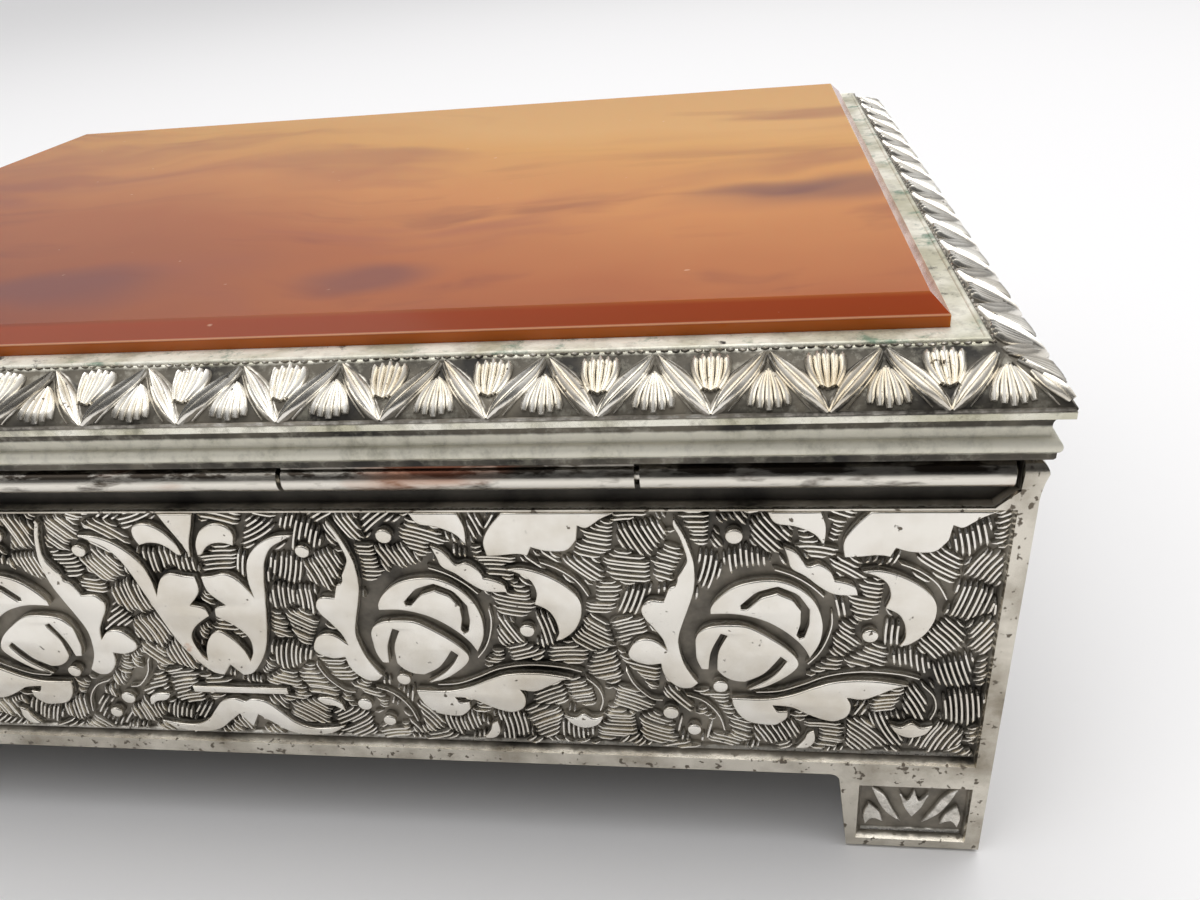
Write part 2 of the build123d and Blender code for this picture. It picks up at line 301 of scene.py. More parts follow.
def groove_loop(line, width):
    """A closed outline round a drawn line, with round ends."""
    line = np.array(line, float)
    t = np.linspace(0, len(line) - 1, 4 * len(line))
    path = np.stack([np.interp(t, range(len(line)), line[:, k]) for k in (0, 1)], 1)
    along = np.gradient(path, axis=0)
    along /= np.linalg.norm(along, axis=1)[:, None]
    across = np.stack([-along[:, 1], along[:, 0]], 1) * width / 2
    cap_end = [path[-1] + along[-1] * width * 0.45]
    cap_start = [path[0] - along[0] * width * 0.45]
    return np.concatenate([path + across, cap_end, (path - across)[::-1], cap_start])


def inside(points, loop):
    """Which of the points lie within a closed loop, by counting crossings."""
    found = np.zeros(len(points), bool)
    x, y = points[:, 0], points[:, 1]
    for (x1, y1), (x2, y2) in zip(loop, np.roll(loop, -1, axis=0)):
        if y1 == y2:
            continue
        crosses = ((y1 > y) != (y2 > y)) & (x < (x2 - x1) * (y - y1) / (y2 - y1) + x1)
        found ^= crosses
    return found


def ring(centre_x, centre_z, radius, count=14):
    """A round loop."""
    angles = np.arange(count) * 2 * math.pi / count
    return np.stack([centre_x + radius * np.cos(angles), centre_z + radius * np.sin(angles)], 1)


def select_only(piece):
    """Leave just this object selected and active."""
    bpy.ops.object.select_all(action="DESELECT")
    piece.select_set(True)
    bpy.context.view_layer.objects.active = piece


def wall_matrix(side):
    """From a wall's own frame, in millimetres, to the box's frame in metres."""
    angle, _, half = SIDES[side]
    stand = Matrix.Translation((0, -(half - FIELD_DEPTH), 0))
    return Matrix.Scale(MM, 4) @ Matrix.Rotation(math.radians(angle), 4, "Z") @ stand


def mark_height(mesh, heights):
    """Keep each vertex's height over its ground, from 0 to 1, for the wear in the finish."""
    layer = mesh.attributes.new("relief", "FLOAT", "POINT")
    layer.data.foreach_set("value", np.clip(np.asarray(heights, np.float32), 0, 1))


def plates(name, loops, height, edge, stand_off=0.0, shine=1.0):
    """Cut raised plates from closed loops. A loop that lies inside another cuts a groove in it."""
    curve = bpy.data.curves.new(name, "CURVE")
    curve.dimensions = "2D"
    curve.fill_mode = "BOTH"
    for loop in loops:
        spline = curve.splines.new("POLY")
        spline.points.add(len(loop) - 1)
        spline.points.foreach_set("co", np.c_[loop, np.zeros(len(loop)), np.ones(len(loop))].ravel())
        spline.use_cyclic_u = True
    curve.extrude = height / 2 - edge
    curve.bevel_depth = edge
    curve.bevel_resolution = 2
    curve.offset = -edge
    piece = bpy.data.objects.new(name, curve)
    bpy.context.scene.collection.objects.link(piece)
    select_only(piece)
    bpy.ops.object.convert(target="MESH")
    piece = bpy.context.object
    stand = Matrix.Translation((0, -(stand_off + height / 2), 0)) @ Matrix.Rotation(math.pi / 2, 4, "X")
    piece.data.transform(stand)
    select_only(piece)
    bpy.ops.object.mode_set(mode="EDIT")
    bpy.ops.mesh.select_all(action="SELECT")
    bpy.ops.mesh.remove_doubles(threshold=0.004)
    bpy.ops.mesh.normals_make_consistent(inside=False)
    bpy.ops.object.mode_set(mode="OBJECT")
    heights = [-v.co.y / FIELD_DEPTH * shine for v in piece.data.vertices]
    mark_height(piece.data, heights)
    return piece


def ribs(name, paths, place, round_top=True, top=FIELD_DEPTH):
    """Raised ribs along many paths. Each path is points, widths and heights, laid by place()."""
    across = [(-0.5, 0.0), (-0.2, 1.0), (0.2, 1.0), (0.5, 0.0)]
    if round_top:
        across = [(-0.5, 0.0), (-0.36, 0.7), (0, 1.0), (0.36, 0.7), (0.5, 0.0)]
    size = len(across)
    verts, faces, heights = [], [], []
    for points, widths, rises in paths:
        points = np.asarray(points, float)
        along = np.gradient(points, axis=0)
        along /= np.maximum(np.linalg.norm(along, axis=1), 1e-9)[:, None]
        first = len(verts)
        for p, a, w, r in zip(points, along, widths, rises):
            for side, up in across:
                verts.append(place(p[0] - a[1] * side * w, p[1] + a[0] * side * w, up * r - 0.04))
                heights.append(max(up * r, 0) / top)
        for i in range(len(points) - 1):
            for k in range(size):
                m = (k + 1) % size
                a0 = first + i * size
                faces.append((a0 + k, a0 + m, a0 + size + m, a0 + size + k))
        last = first + (len(points) - 1) * size
        faces.append(tuple(range(first + size - 1, first - 1, -1)))
        faces.append(tuple(range(last, last + size)))
    mesh = bpy.data.meshes.new(name)
    mesh.from_pydata(verts, [], faces)
    mark_height(mesh, heights)
    piece = bpy.data.objects.new(name, mesh)
    bpy.context.scene.collection.objects.link(piece)
    select_only(piece)
    bpy.ops.object.mode_set(mode="EDIT")
    bpy.ops.mesh.select_all(action="SELECT")
    bpy.ops.mesh.normals_make_consistent(inside=False)
    bpy.ops.object.mode_set(mode="OBJECT")
    return piece


def settle(piece, body, material, smooth=35):
    """Give a finished piece its shading, finish and body."""
    select_only(piece)
    bpy.ops.object.shade_smooth_by_angle(angle=math.radians(smooth))
    piece.data.materials.clear()
    piece.data.materials.append(material)
    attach(piece, body)


def copied(piece, name, matrix):
    """A copy of a wall piece with its own mesh, placed by a matrix."""
    twin = piece.copy()
    twin.data = piece.data.copy()
    twin.name = name
    twin.data.name = name
    bpy.context.scene.collection.objects.link(twin)
    twin.data.transform(matrix)
    return twin


def wall_loops(kind):
    """All raised loops of one wall: the middle palmette and its sprays to both sides."""
    loops = [smooth_loop(TEARDROP), smooth_loop(whole(PALMETTE_HALF)), smooth_loop(whole(BRACKET_HALF))]
    loops.append(np.array(PALMETTE_BAR))
    one_side = [smooth_loop(PETAL), smooth_loop(COMMA), ring(*PALMETTE_BERRY)]
    for place in SPRAY_PLACES[kind]:
        shift = np.array([place, 0])
        for outline in SPRAY + (BUD, HOOD):
            one_side.append(smooth_loop(outline) + shift)
        one_side.append(groove_loop(HOOD_GROOVE, HOOD_GROOVE_WIDTH) + shift)
        one_side += [ring(x + place, z, r) for x, z, r in SPRAY_BERRIES]
    if kind == "short":
        one_side.append(smooth_loop(LONG_LEAF) + np.array([SPRAY_PLACES["long"][1], 0]))
    return loops + one_side + [flipped(loop) for loop in one_side]


def echo_paths(kind):
    """Thin ridges that run beside the leaves, on both halves of a wall."""
    paths = []
    for place in SPRAY_PLACES[kind]:
        for line in ECHOES:
            smooth = smooth_line(np.array(line) + np.array([place, 0]))
            shape = [0.4] + [1.0] * (len(smooth) - 2) + [0.4]
            widths = [ECHO_WIDTH * w for w in shape]
            rises = [ECHO_RISE * w for w in shape]
            paths += [(smooth * np.array([hand, 1]), widths, rises) for hand in (1, -1)]
    return paths


class Ground:
    """Where the hatching may lie on one wall: the field less the ornament and a margin round it."""

    step = 0.1

    def __init__(self, half, loops, margin):
        self.low = np.array([-half, FIELD_LOW + 0.9])
        self.high = np.array([half, FIELD_HIGH - 0.15])
        nx, nz = ((self.high - self.low) / self.step).astype(int) + 1
        columns = self.low[0] + np.arange(nx) * self.step
        rows = self.low[1] + np.arange(nz) * self.step
        gx, gz = np.meshgrid(columns, rows, indexing="ij")
        blocked = np.zeros((nx, nz), bool)
        for loop in loops:
            lo = np.maximum(((loop.min(0) - self.low) / self.step).astype(int) - 2, 0)
            hi = ((loop.max(0) - self.low) / self.step).astype(int) + 3
            part = (slice(lo[0], hi[0]), slice(lo[1], hi[1]))
            spots = np.stack([gx[part].ravel(), gz[part].ravel()], 1)
            if len(spots):
                blocked[part] |= inside(spots, loop).reshape(gx[part].shape)
        reach = int(round(margin / self.step))
        wide = blocked.copy()
        for dx in range(-reach, reach + 1):
            for dz in range(-reach, reach + 1):
                if dx * dx + dz * dz <= reach * reach:
                    wide |= np.roll(np.roll(blocked, dx, 0), dz, 1)
        self.blocked = wide

    def free(self, x, z):
        i = int((x - self.low[0]) / self.step)
        j = int((z - self.low[1]) / self.step)
        nx, nz = self.blocked.shape
        return 0 <= i < nx and 0 <= j < nz and not self.blocked[i, j]


def hatch_paths(half, loops, keep_out, seed, spacing, patch):
    """Short parallel ridges in patches that follow or cross the nearest outline, as a graver cuts."""
    chance = random.Random(seed)
    ground = Ground(half, loops + keep_out, 0.2)
    outline = np.concatenate(loops)
    headings = np.concatenate([np.roll(loop, -1, axis=0) - loop for loop in loops])
    seeds = []
    columns = int(2 * half / patch)
    rows = int((FIELD_HIGH - FIELD_LOW) / patch) + 1
    for i in range(columns + 1):
        for j in range(rows + 1):
            x = -half + (i + 0.5 * (j % 2)) * patch + chance.uniform(-0.9, 0.9)
            z = FIELD_LOW + j * patch + chance.uniform(-0.9, 0.9)
            along = headings[np.argmin(((outline - (x, z)) ** 2).sum(1))]
            turn = math.atan2(along[1], along[0]) + chance.uniform(-0.4, 0.4)
            turn += math.pi / 2 if chance.random() < 0.35 else 0
            seeds.append((x, z, turn % math.pi, chance.uniform(7, 20) * chance.choice((-1, 1))))
    spots = np.array([s[:2] for s in seeds])
    neighbours = 14
    rows_each_way = 9
    steps_each_way = 10
    stride = 0.36
    paths = []
    for number, (sx, sz, turn, bow) in enumerate(seeds):
        centre = np.array([sx - bow * math.sin(turn), sz + bow * math.cos(turn)])
        near = np.argsort(((spots - spots[number]) ** 2).sum(1))[:neighbours]
        for row in range(-rows_each_way, rows_each_way + 1):
            radius = abs(bow) + row * spacing
            stretch = []
            for k in range(-steps_each_way, steps_each_way + 1):
                swing = k * stride / abs(bow)
                base = turn - math.pi / 2 if bow > 0 else turn + math.pi / 2
                point = centre + radius * np.array([math.cos(base + swing), math.sin(base + swing)])
                nearest = near[np.argmin(((spots[near] - point) ** 2).sum(1))]
                if nearest == number and ground.free(*point):
                    stretch.append(point)
                    continue
                if len(stretch) > 2:
                    paths.append(stretch)
                stretch = []
            if len(stretch) > 2:
                paths.append(stretch)
    finished = []
    for stretch in paths:
        count = len(stretch)
        width = spacing * chance.uniform(0.78, 0.96)
        rise = chance.uniform(0.52, 0.74)
        ends = [0.45] + [1.0] * (count - 2) + [0.45]
        finished.append((stretch, [width * e for e in ends], [rise * (0.5 + 0.5 * e) for e in ends]))
    return finished


def in_wall(u, z, h):
    """Place a point given in a wall's own frame."""
    return (u, -h, z)


# The ogee of the lid's rail, inward from the wall's plane and up from the lid's lower edge
OGEE = np.array([
    (-LID_OVERHANG, 3.95), (-0.82, 4.5), (-0.35, 4.9), (0.3, 5.26), (0.95, 5.55), (1.7, 5.84), (2.45, 6.17),
    (3.05, 6.55), (3.5, 6.95),
])
OGEE_RUN = np.concatenate([[0], np.cumsum(np.linalg.norm(np.diff(OGEE, axis=0), axis=1))])


def on_ogee(s, h):
    """Inward and upward place at a distance s up the ogee, standing h off its surface."""
    reach = 0.4
    d, z = [np.interp(s, OGEE_RUN, OGEE[:, k]) for k in (0, 1)]
    ends = (max(s - reach, 0), min(s + reach, OGEE_RUN[-1]))
    run = np.array([np.diff(np.interp(ends, OGEE_RUN, OGEE[:, k]))[0] for k in (0, 1)])
    run /= np.linalg.norm(run)
    return d - run[1] * h, z + run[0] * h + LID_LOW


def leaf_and_fan_paths(half, period):
    """One rail's zigzag of slender leaves with fans standing between and hanging under them."""
    def bow(a, b, lift, count=9):
        a, b = np.array(a, float), np.array(b, float)
        t = np.linspace(0, 1, count)[:, None]
        side = np.array([-(b - a)[1], (b - a)[0]])
        side /= np.linalg.norm(side)
        return a + (b - a) * t + side * lift * 4 * t * (1 - t)

    def taper(count, width, rise, kind):
        at = [i / (count - 1) for i in range(count)]
        if kind == "leaf":
            shape = [0.2 + 0.8 * math.sin(math.pi * (0.06 + 0.88 * t)) for t in at]
        else:
            shape = [(0.55 + 0.45 * t) * (1 if t < 0.99 else 0.6) for t in at]
        return [width * w for w in shape], [rise * (0.55 + 0.45 * w) for w in shape]

    half_step = period / 2
    figure = []
    for hand in (-1, 1):
        foot = (hand * (half_step - 0.05), 0.35)
        peak = (hand * 0.2, 5.2)
        figure.append((bow(foot, peak, 0.0, 11), 1.9, 0.26, "leaf"))
        for lift in (0.36, -0.32):
            figure.append((bow(foot, peak, lift * hand, 11), 0.76, 0.54, "leaf"))
        figure.append((bow((hand * 2.7, 0.5), (hand * 0.1, 4.5), 0.2 * hand, 9), 0.2, 0.34, "leaf"))
    for k in range(-2, 3):
        root = (k * 0.16, 3.7 - 0.16 * abs(k))
        tip = (k * 0.62, 0.5 + 0.16 * abs(k))
        figure.append((bow(root, tip, 0.1 * k, 9), 0.7, 0.5, "fan"))
    for k in range(-2, 3):
        root = (half_step + k * 0.26, 1.85 + 0.12 * abs(k))
        tip = (half_step + k * 0.56, 5.2 - 0.12 * abs(k))
        figure.append((bow(root, tip, -0.12 * k, 10), 0.68, 0.62, "fan"))
    count = int(half / period) + 1
    paths = []
    for step in range(-count, count + 1):
        for line, width, rise, form in figure:
            line = line + np.array([step * period, 0])
            kept = [p for p in line if abs(p[0]) < half - np.interp(p[1], OGEE_RUN, OGEE[:, 0]) - 0.12]
            if len(kept) > 2:
                widths, rises = taper(len(kept), width, rise, form)
                paths.append((kept, widths, rises))
    chance = random.Random(3)
    beads = int(2 * half / 0.78)
    for i in range(beads):
        u = -half + (i + 0.5) * 2 * half / beads + chance.uniform(-0.1, 0.1)
        size = chance.uniform(0.75, 1.15)
        if abs(u) < half - 3.4:
            s = 5.62 + chance.uniform(-0.06, 0.06)
            line = [(u - 0.28 * size, s), (u, s + 0.03), (u + 0.28 * size, s)]
            paths.append((line, [0.24, 0.46 * size, 0.24], [0.14, 0.3 * size, 0.14]))
    paths.append(([(-half - 0.85, 0.18), (0, 0.18), (half + 0.85, 0.18)], [0.34] * 3, [0.16] * 3))
    return paths


def build_wall_ornament(settings, metal):
    """Relief plates and hatching for the long and the short walls, copied to their opposite sides."""
    for kind, sides in (("long", ("back", "front")), ("short", ("left", "right"))):
        half = SIDES[sides[0]][1] - SIDE_BORDER
        loops = wall_loops(kind)
        relief = plates("relief", loops, RELIEF_HEIGHT, RELIEF_EDGE)
        beside = []
        for place in SPRAY_PLACES[kind]:
            beside.append(smooth_loop(BALL) + np.array([place, 0]))
            beside += [ring(x + place, z, r + BERRY_MARGIN) for x, z, r in SPRAY_BERRIES]
            beside += [groove_loop(np.array(line) + (place, 0), ECHO_ROOM) for line in ECHOES]
        keep_out = beside + [flipped(loop) for loop in beside]
        cut = (settings.hatch_seed, settings.hatch_spacing, settings.hatch_patch)
        hatch = ribs("hatch", hatch_paths(half, loops, keep_out, *cut) + echo_paths(kind), in_wall, False)
        line = [(u, BEAD_Z) for u in (-half, 0, half)]
        bead = ribs("field_bead", [(line, [BEAD_WIDTH] * 3, [BEAD_RISE] * 3)], in_wall)
        for side in sides:
            for piece, smooth in ((relief, 40), (hatch, 20), (bead, 60)):
                twin = copied(piece, piece.name + "_" + side, wall_matrix(side))
                settle(twin, "box", metal, smooth)
        for piece in (relief, hatch, bead):
            bpy.data.objects.remove(piece)


def build_foot_ornament(metal):
    """The small sunk panels on both faces of each corner foot."""
    leaf = smooth_loop(FOOT_LEAF)
    blossom = smooth_loop(FOOT_BLOSSOM)
    loops = [leaf, flipped(leaf), blossom, flipped(blossom), smooth_loop(whole(FOOT_TRIDENT_HALF))]
    master = plates("foot_relief", loops, FOOT_RELIEF_HEIGHT, FOOT_RELIEF_EDGE, FOOT_STAND_OFF, shine=0.62)
    sill = ribs("foot_sill", [(FOOT_SILL, [SILL_SIZE] * 3, [SILL_SIZE] * 3)], in_wall)
    for side in SIDES:
        reach = SIDES[side][1]
        for hand, word in ((-1, "a"), (1, "b")):
            shift = Matrix.Translation((hand * (reach - FOOT_INSET), 0, 0))
            for piece in (master, sill):
                twin = copied(piece, "%s_%s_%s" % (piece.name, side, word), wall_matrix(side) @ shift)
                settle(twin, "box", metal, 40)
    bpy.data.objects.remove(master)
    bpy.data.objects.remove(sill)


def build_lid_ornament(metal):
    """Leaves and fans along the ogee of each rail."""
    for side, (angle, half, wall_half) in SIDES.items():
        reach = half + LID_OVERHANG
        period = reach / RAIL_REPEATS[side]
        turn = Matrix.Scale(MM, 4) @ Matrix.Rotation(math.radians(angle), 4, "Z")

        def place(u, s, h):
            d, z = on_ogee(s, h)
            return (u, -wall_half + d, z)

        piece = ribs("leaves_" + side, leaf_and_fan_paths(half, period), place, True, LEAF_TOP)
        piece.data.transform(turn)
        settle(piece, "lid", metal, 50)


def make_material(name):
    """A new material with its tree, its shader and the place of each point in the box's frame."""
    material = bpy.data.materials.new(name)
    material.use_nodes = True
    tree = material.node_tree
    tree.nodes.clear()
    shader = add(tree, "BsdfPrincipled")
    add(tree, "OutputMaterial", {"Surface": shader.outputs[0]})
    place = add(tree, "TexCoord").outputs["Object"]
    return material, tree, shader, place


def silver(name, source):
    """Cast white metal, silver plated: oxidised dark in the hollows, rubbed bright on top.

    The plate is satin and pale. Dirt and oxide fill what a cloth can't reach, and where the
    plate is worn through the copper under it shows. The height over the ground is the mesh's
    relief value, or on the cast walls it comes from the place. On the cast walls, what lies
    deeper than the field's ground, as the channel under the hinge, is painted dark as shade.
    """
    material, tree, shader, place = make_material(name)
    if source == "relief":
        height = add(tree, "Attribute", attribute_name="relief").outputs["Fac"]
        low, high = 0.22, 0.58
        stained, clean, pit_start = "#D5CDBE", "#F1EDE4", 0.7
    else:
        low, high = 0.35, 0.8
        stained, clean, pit_start = "#8A8171", "#DAD4C7", 0.63
        split = add(tree, "SeparateXYZ", {0: place})
        gaps = []
        for axis, half in (("X", HALF_LENGTH), ("Y", HALF_WIDTH)):
            size = add(tree, "Math", {0: split.outputs[axis]}, operation="ABSOLUTE").outputs[0]
            gaps.append(add(tree, "Math", {0: half * MM, 1: size}, operation="SUBTRACT").outputs[0])
        depth = add(tree, "Math", {0: gaps[0], 1: gaps[1]}, operation="MINIMUM").outputs[0]
        field = {"Value": depth, "From Min": FIELD_DEPTH * MM, "From Max": 0.0}
        height = add(tree, "MapRange", field).outputs[0]
    soil_sockets = {"Vector": place, "Scale": 900.0, "Detail": 5.0, "Roughness": 0.65}
    soil = add(tree, "TexNoise", soil_sockets).outputs[0]
    soil_range = {"Value": soil, "From Min": 0.3, "From Max": 0.7, "To Min": -0.16, "To Max": 0.16}
    soil_shift = add(tree, "MapRange", soil_range).outputs[0]
    worn = add(tree, "Math", {0: height, 1: soil_shift}, operation="ADD").outputs[0]
    rubbed = {"Value": worn, "From Min": low, "From Max": high}
    bright = add(tree, "MapRange", rubbed, interpolation_type="SMOOTHSTEP").outputs[0]
    blotch_sockets = {"Vector": place, "Scale": 160.0, "Detail": 6.0, "Roughness": 0.6}
    blotch = add(tree, "TexNoise", blotch_sockets).outputs[0]
    oxide = add(tree, "ValToRGB", {0: blotch}, stops=((0.35, "#35312A"), (0.66, "#A0988A"))).outputs[0]
    plate = add(tree, "ValToRGB", {0: blotch}, stops=((0.3, stained), (0.6, clean))).outputs[0]
    pit = add(tree, "TexNoise", {"Vector": place, "Scale": 1500.0, "Detail": 2.0}).outputs[0]
    pits_sockets = {"Value": pit, "From Min": pit_start, "From Max": pit_start + 0.05}
    pits = add(tree, "MapRange", pits_sockets).outputs[0]
    wear_sockets = {"Vector": place, "Scale": 95.0, "Detail": 5.0, "Roughness": 0.7}
    wear = add(tree, "TexNoise", wear_sockets).outputs[0]
    copper = add(tree, "MapRange", {"Value": wear, "From Min": 0.71, "From Max": 0.77}).outputs[0]
    for share, tint in ((copper, "#C9A083"), (pits, "#6A6257")):
        plate = add(tree, "Mix", {0: share, 6: plate, 7: linear(tint)}, data_type="RGBA").outputs[2]
    colour = add(tree, "Mix", {0: bright, 6: oxide, 7: plate}, data_type="RGBA").outputs[2]
    if source == "place":
        # Where the wall lies deeper than the field's ground, as in the channel under the hinge, the colour is
        # painted dark as shade
        channel_shade_range = {"Value": depth, "From Min": 0.95 * MM, "From Max": 1.25 * MM, "To Max": 0.8}
        painted_channel_shade = add(tree, "MapRange", channel_shade_range).outputs[0]
        colour = add(tree, "Mix", {0: painted_channel_shade, 6: colour, 7: linear("#1F1C18")}, data_type="RGBA").outputs[2]
    wave = add(tree, "TexNoise", {"Vector": place, "Scale": 330.0, "Detail": 2.0}).outputs[0]
    uneven = add(tree, "Bump", {"Strength": 0.5, "Distance": 0.00012, "Height": wave}).outputs[0]
    grit = {"Strength": 0.35, "Distance": 0.00006, "Height": soil, "Normal": uneven}
    fill(tree, shader, {
        "Base Color": colour,
        "Metallic": add(tree, "MapRange", {"Value": bright, "To Min": 0.3, "To Max": 0.95}).outputs[0],
        "Roughness": add(tree, "MapRange", {"Value": bright, "To Min": 0.55, "To Max": 0.24}).outputs[0],
        "Normal": add(tree, "Bump", grit).outputs[0],
    })
    return material


def rail_silver():
    """The lid's casting: its ogee is dark ground under the leaves, its cove and the strip along its
    lower edge are painted dark as shade, its flat band carries a painted pale sheen, and green
    verdigris and black crust have grown on the ledge beside the slab."""
    material, tree, shader, place = make_material("silver_plate_lid")
    z = add(tree, "SeparateXYZ", {0: place}).outputs["Z"]
    # Each zone of the moulding fades in and out over two pairs of heights above the lid's lower edge
    zones = {}
    for zone, fades in (
        ("ogee", ((3.85, 4.25), (6.75, 6.95))),
        ("cove", ((2.25, 2.45), (3.3, 3.5))),
        ("band", ((0.7, 0.9), (2.3, 2.5))),
    ):
        starts, ends = [
            add(tree, "MapRange", {
                "Value": z, "From Min": (LID_LOW + low) * MM, "From Max": (LID_LOW + high) * MM,
            }).outputs[0]
            for low, high in fades
        ]
        zones[zone] = add(tree, "Math", {0: starts, 1: ends}, operation="SUBTRACT").outputs[0]
    # The strip just above the lid's lower edge is painted dark as shade, and so is the cove; the ogee's dark
    # ground is oxide
    gap_shade_range = {"Value": z, "From Min": (LID_LOW + 0.75) * MM, "From Max": (LID_LOW + 0.5) * MM}
    painted_gap_shade = add(tree, "MapRange", gap_shade_range).outputs[0]
    ogee_or_cove = add(tree, "Math", {0: zones["ogee"], 1: zones["cove"]}, operation="MAXIMUM").outputs[0]
    oxide_and_painted_shade = add(tree, "Math", {0: ogee_or_cove, 1: painted_gap_shade}, operation="MAXIMUM").outputs[0]
    soil_sockets = {"Vector": place, "Scale": 700.0, "Detail": 6.0, "Roughness": 0.7}
    soil = add(tree, "TexNoise", soil_sockets).outputs[0]
    stain_range = {"Value": soil, "From Min": 0.35, "From Max": 0.7, "To Min": -0.25, "To Max": 0.4}
    stain = add(tree, "MapRange", stain_range).outputs[0]
    dirt_and_shade = add(tree, "Math", {0: oxide_and_painted_shade, 1: stain}, operation="ADD", use_clamp=True).outputs[0]
    blotch = add(tree, "TexNoise", {"Vector": place, "Scale": 220.0, "Detail": 5.0}).outputs[0]
    oxide = add(tree, "ValToRGB", {0: blotch}, stops=((0.35, "#2B2823"), (0.68, "#7A7365"))).outputs[0]
    plate = add(tree, "ValToRGB", {0: blotch}, stops=((0.35, "#BDB9A2"), (0.6, "#E9E6D8"))).outputs[0]
    colour = add(tree, "Mix", {0: dirt_and_shade, 6: plate, 7: oxide}, data_type="RGBA").outputs[2]
    ledge_range = {"Value": z, "From Min": (LEDGE_Z - 0.12) * MM, "From Max": (LEDGE_Z - 0.02) * MM}
    ledge = add(tree, "MapRange", ledge_range).outputs[0]
    growth_sockets = {"Vector": place, "Scale": 260.0, "Detail": 6.0, "Roughness": 0.75}
    growth = add(tree, "TexNoise", growth_sockets).outputs[0]
    green_sockets = {"Value": growth, "From Min": 0.56, "From Max": 0.66, "To Max": 0.8}
    green = add(tree, "MapRange", green_sockets).outputs[0]
    crust = add(tree, "MapRange", {"Value": growth, "From Min": 0.40, "From Max": 0.33}).outputs[0]
    spoils = []
    for mask, tint in ((green, "#5E7F6A"), (crust, "#2E2A24")):
        spoils.append(add(tree, "Math", {0: mask, 1: ledge}, operation="MULTIPLY").outputs[0])
        colour = add(tree, "Mix", {0: spoils[-1], 6: colour, 7: linear(tint)}, data_type="RGBA").outputs[2]
    # The flat band is painted pale as a sheen, patchy by the soil noise
    patch_range = {"Value": soil, "From Min": 0.42, "From Max": 0.62, "To Min": 0.95, "To Max": 0.45}
    patchy = add(tree, "MapRange", patch_range).outputs[0]
    painted_band_sheen = add(tree, "Math", {0: zones["band"], 1: patchy}, operation="MULTIPLY").outputs[0]
    colour = add(tree, "Mix", {0: painted_band_sheen, 6: colour, 7: linear("#ECE8D8")}, data_type="RGBA").outputs[2]
    dull = add(tree, "Math", {0: spoils[0], 1: spoils[1]}, operation="MAXIMUM").outputs[0]
    for zone, film in ((ledge, 0.75), (zones["band"], 0.9)):
        filmed = add(tree, "Math", {0: zone, 1: film}, operation="MULTIPLY").outputs[0]
        dull = add(tree, "Math", {0: dull, 1: filmed}, operation="MAXIMUM").outputs[0]
    dull = add(tree, "Math", {0: dull, 1: dirt_and_shade}, operation="MAXIMUM").outputs[0]
    fill(tree, shader, {
        "Base Color": colour,
        "Metallic": add(tree, "MapRange", {"Value": dull, "To Min": 0.95, "To Max": 0.3}).outputs[0],
        "Roughness": add(tree, "MapRange", {"Value": dull, "To Min": 0.2, "To Max": 0.6}).outputs[0],
        "Normal": add(tree, "Bump", {"Strength": 0.7, "Distance": 0.00015, "Height": soil}).outputs[0],
    })
    return material


def barrel_silver():
    """Drawn hinge tube: the plate is rubbed through to copper in long streaks, and its top is painted dark as
    shade.
    """
    material, tree, shader, place = make_material("worn_hinge_tube")
    along = add(tree, "Mapping", {"Vector": place, "Scale": (0.3, 1.0, 1.0)}).outputs[0]
    streak_sockets = {"Vector": along, "Scale": 800.0, "Detail": 5.0, "Roughness": 0.65}
    streak = add(tree, "TexNoise", streak_sockets).outputs[0]
    patch = add(tree, "TexNoise", {"Vector": along, "Scale": 130.0, "Detail": 4.0}).outputs[0]
    plate = add(tree, "ValToRGB", {0: streak}, stops=((0.33, "#5B544A"), (0.5, "#E6E1D6"))).outputs[0]
    copper = add(tree, "MapRange", {"Value": patch, "From Min": 0.55, "From Max": 0.66}).outputs[0]
    worn = add(tree, "Mix", {0: copper, 6: plate, 7: linear("#B98A70")}, data_type="RGBA").outputs[2]
    # The top of the tube is painted dark as shade, ragged at its edge and tinted towards copper where the
    # copper shows
    height = add(tree, "SeparateXYZ", {0: place}).outputs["Z"]
    top_range = {"Value": height, "From Min": (HINGE_Z + 0.05) * MM, "From Max": (HINGE_Z + 0.7) * MM}
    on_top = add(tree, "MapRange", top_range).outputs[0]
    ragged_range = {"Value": streak, "From Min": 0.4, "From Max": 0.56, "To Min": 0.35, "To Max": 1.3}
    ragged = add(tree, "MapRange", ragged_range).outputs[0]
    painted_top_shade = add(tree, "Math", {0: on_top, 1: ragged}, operation="MULTIPLY", use_clamp=True).outputs[0]
    tints = {0: copper, 6: linear("#3B352E"), 7: linear("#7A4B38")}
    dark = add(tree, "Mix", tints, data_type="RGBA").outputs[2]
    fill(tree, shader, {
        "Base Color": add(tree, "Mix", {0: painted_top_shade, 6: worn, 7: dark}, data_type="RGBA").outputs[2],
        "Metallic": 0.9,
        "Roughness": add(tree, "MapRange", {"Value": streak, "To Min": 0.32, "To Max": 0.14}).outputs[0],
        "Normal": add(tree, "Bump", {"Strength": 0.2, "Distance": 0.00005, "Height": streak}).outputs[0],
    })
    return material


# Plum shadows in the slab: place along X and Y, and size
PLUM_SPOTS = ((-57, 16, 9.0), (-50, 14, 5.0), (-17, 29.5, 4.5), (14, 34.5, 8.0), (38, 33, 9.0))


